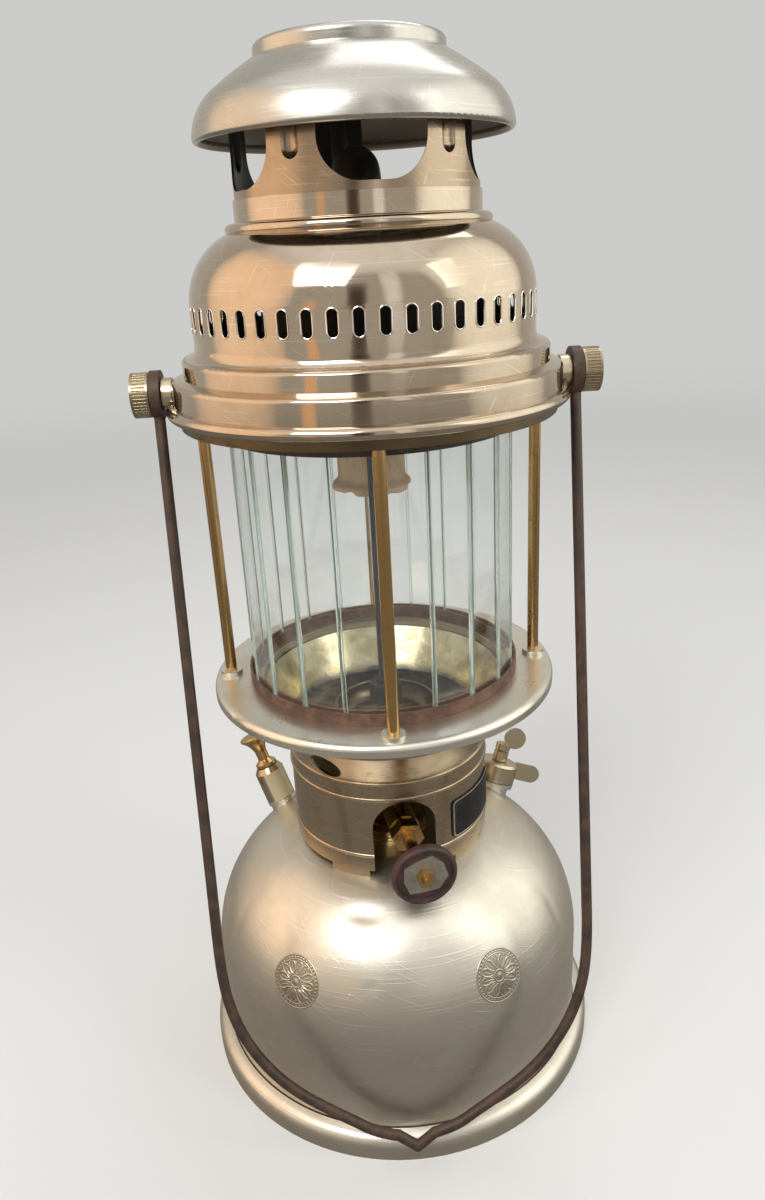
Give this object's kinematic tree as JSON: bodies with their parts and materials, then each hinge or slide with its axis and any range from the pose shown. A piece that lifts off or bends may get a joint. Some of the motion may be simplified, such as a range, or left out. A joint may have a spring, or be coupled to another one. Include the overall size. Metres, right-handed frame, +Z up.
{
  "type": "pressure lantern",
  "caption": "Pressurised paraffin lantern: domed tank on a foot ring, pump, filler, hand wheel, slatted glass in a guard frame, vented lift-off hood and a wire bail.",
  "frame": {"origin": "on the floor under the axis of the lantern", "axes": "+Z up along the axis, -Y towards the hand wheel, +X towards the right bail pivot"},
  "size_m": [0.17, 0.1733, 0.3939],
  "materials": {
    "polished_nickel": "polished, fine scratches",
    "satin_nickel": "satin, worn",
    "worn_nickel": "worn to a warm brown",
    "aged_brass": "aged",
    "dark_steel": "heat darkened",
    "needle_steel": "bright",
    "rusty_steel": "brown rust, pitted",
    "coppered_steel": "brown, oxidised",
    "clear_glass": "clear, slightly green",
    "clay": "unglazed",
    "black_paint": "semi-gloss",
    "wheel_moulding": "worn",
    "dull_metal": "dull",
    "seal_rubber": "matt",
    "pump_leather": "oiled"
  },
  "bodies": {
    "base": {"foot_ring": "satin_nickel", "tank_shell": "satin_nickel", "tank_bottom": "satin_nickel", "tank_neck": "aged_brass", "valve_body": "aged_brass", "pickup_tube": "aged_brass", "gland_packing": "seal_rubber", "gland_nut": "aged_brass", "vaporiser_tube": "dark_steel", "vaporiser_union": "aged_brass", "jet_nipple": "aged_brass", "preheat_cup": "aged_brass", "inner_tray": "dark_steel", "pump_barrel": "satin_nickel", "pump_check_valve": "aged_brass", "pump_cap": "satin_nickel", "filler_neck": "satin_nickel", "collar": "worn_nickel", "gallery_plate": "satin_nickel", "guard_rods": "aged_brass", "rod_collars": "aged_brass", "upper_ring": "worn_nickel", "data_plate": "black_paint", "glass_lower_ring": "coppered_steel", "glass_upper_ring": "dark_steel", "glass_slats": "clear_glass", "clay_nozzle": "clay", "burner_head": "dark_steel", "inner_casing": "dark_steel", "mixing_tube": "dark_steel", "pivot_studs": "aged_brass", "pivot_bushes": "satin_nickel"},
    "hand_wheel": {"spindle": "aged_brass", "hand_wheel": "wheel_moulding", "wheel_plate": "dull_metal", "wheel_nut": "aged_brass"},
    "needle": {"needle_rod": "aged_brass", "cleaning_needle": "needle_steel"},
    "pump_plunger": {"pump_rod": "aged_brass", "pump_leather": "pump_leather", "pump_washers": "aged_brass", "pump_knob": "aged_brass"},
    "filler_seal": {"filler_seal": "seal_rubber"},
    "filler_cap": {"filler_cap": "satin_nickel"},
    "air_screw": {"air_screw": "satin_nickel"},
    "hood": {"hood_shell": "polished_nickel", "chimney_gallery": "satin_nickel", "top_cap": "satin_nickel"},
    "bail_nut_left": {"bail_nut_left": "aged_brass"},
    "bail_nut_right": {"bail_nut_right": "aged_brass"},
    "bail": {"bail": "rusty_steel"}
  },
  "joints": [
    {"name": "bail_swing", "type": "hinge", "parent": "base", "child": "bail", "pos_m": [0, 0, 0.2865], "axis": [-1, 0, 0], "range_deg": [0, 312]},
    {"name": "hand_wheel_turn", "type": "hinge", "parent": "base", "child": "hand_wheel", "pos_m": [0, -0.008, 0.11385], "axis": [0.1736, -0.9848, 0], "range_deg": [0, 180]},
    {"name": "needle_lift", "type": "slide", "parent": "base", "child": "needle", "axis": [0, 0, 1], "range_m": [0, 0.003]},
    {"name": "pump_stroke", "type": "slide", "parent": "base", "child": "pump_plunger", "axis": [-0.3277, 0.2128, 0.9205], "range_m": [0, 0.06]},
    {"name": "filler_cap_lift", "type": "slide", "parent": "base", "child": "filler_seal", "axis": [0.3142, 0.204, 0.9272], "range_m": [0, 0.0045]},
    {"name": "filler_cap_turn", "type": "hinge", "parent": "filler_seal", "child": "filler_cap", "pos_m": [0.04906, 0.03186, 0.09037], "axis": [0.3142, 0.204, 0.9272], "range_deg": [0, 1080]},
    {"name": "air_screw_turn", "type": "hinge", "parent": "filler_cap", "child": "air_screw", "pos_m": [0.04906, 0.03186, 0.09037], "axis": [0.3142, 0.204, 0.9272], "range_deg": [0, 360]},
    {"name": "hood_lift", "type": "slide", "parent": "base", "child": "hood", "axis": [0, 0, 1], "range_m": [0, 0.12]},
    {"name": "bail_nut_left_turn", "type": "hinge", "parent": "base", "child": "bail_nut_left", "pos_m": [0, 0, 0.2865], "axis": [-1, 0, 0], "range_deg": [0, 720]},
    {"name": "bail_nut_right_turn", "type": "hinge", "parent": "base", "child": "bail_nut_right", "pos_m": [0, 0, 0.2865], "axis": [1, 0, 0], "range_deg": [0, 720]}
  ],
  "couplings": [
    {"joint": "hand_wheel_turn", "follows": "needle_lift", "rad_per_m": 1047.2},
    {"joint": "filler_cap_turn", "follows": "filler_cap_lift", "rad_per_m": 4188.8}
  ]
}
